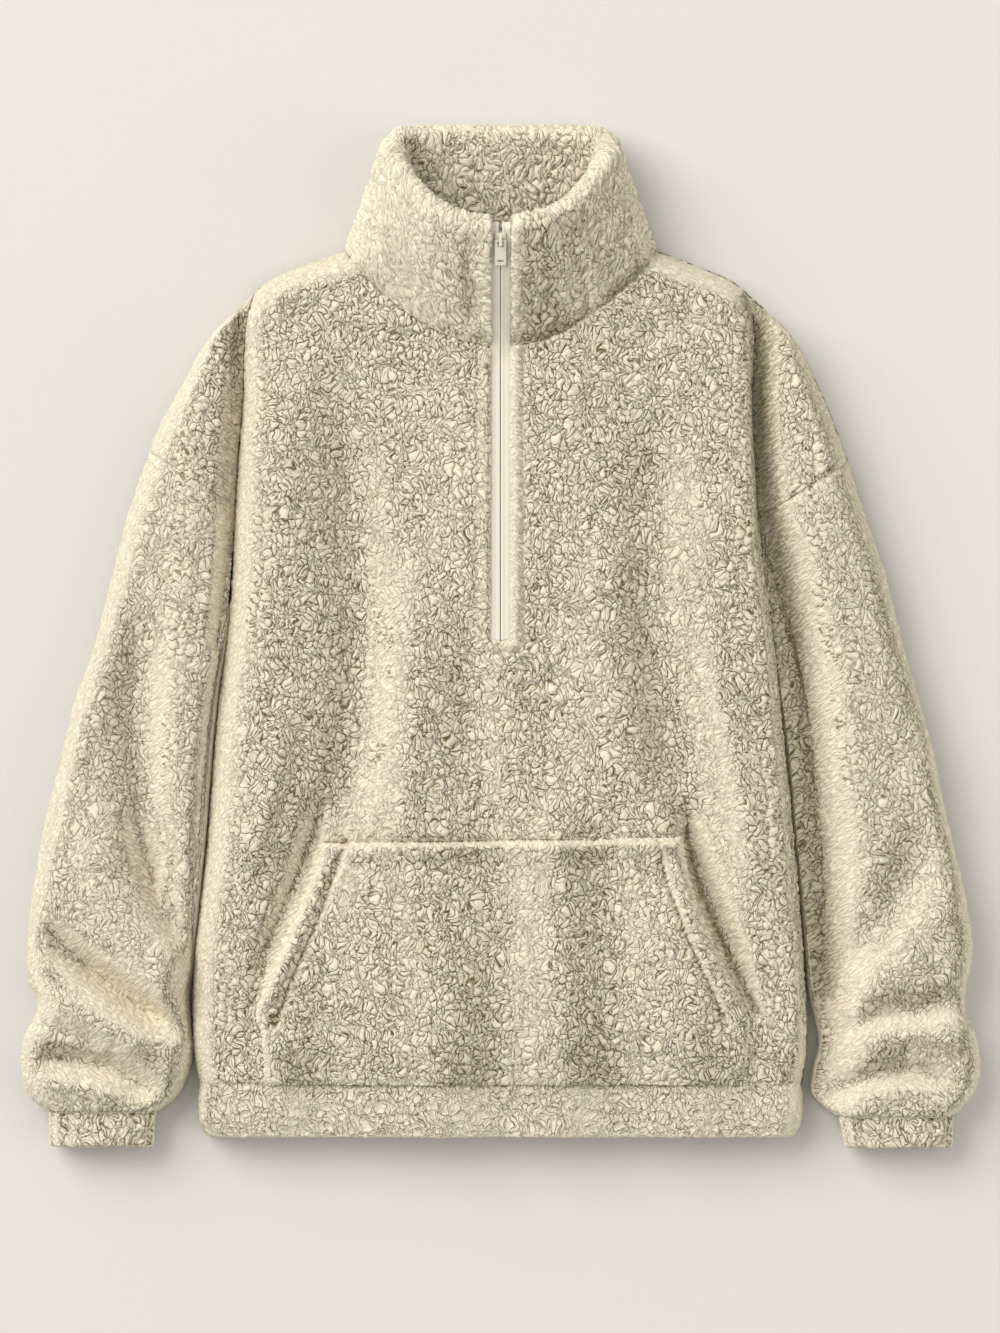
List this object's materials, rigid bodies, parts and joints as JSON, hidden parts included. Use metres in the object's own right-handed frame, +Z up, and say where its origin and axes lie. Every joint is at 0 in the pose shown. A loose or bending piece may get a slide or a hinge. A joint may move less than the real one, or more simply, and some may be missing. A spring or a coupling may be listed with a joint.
{
  "type": "sherpa fleece pullover",
  "caption": "Half-zip pullover in curly sherpa fleece, lying flat and face up, with a stand collar, kangaroo pocket, gathered cuffs, a hem band and a zip pull tab that swings.",
  "frame": {"origin": "under the middle of the whole garment's box, on the surface that it lies on", "axes": "+Z up out of the front of the garment, +Y towards the collar, +X towards the wearer's left sleeve"},
  "size_m": [0.746, 0.793, 0.0871],
  "materials": {
    "sherpa": "curly oat pile, matt",
    "tape": "smooth cream woven tape",
    "coil": "cream nylon coil",
    "enamel": "cream satin enamel"
  },
  "bodies": {
    "garment": {"front_panel": "sherpa", "back_panel": "sherpa", "sleeve_left": "sherpa", "sleeve_right": "sherpa", "cuff_left": "sherpa", "cuff_right": "sherpa", "hem_band": "sherpa", "pocket": "sherpa", "collar": "sherpa", "zip_tape_left": "tape", "zip_tape_right": "tape", "zip_chain": "coil", "zip_slider": "enamel"},
    "pull_tab": {"zip_pull": "enamel"}
  },
  "joints": [
    {"name": "pull_swing", "type": "hinge", "parent": "garment", "child": "pull_tab", "pos_m": [0, 0.30567, 0.08342], "axis": [-1, 0, 0], "range_deg": [0, 168]}
  ]
}
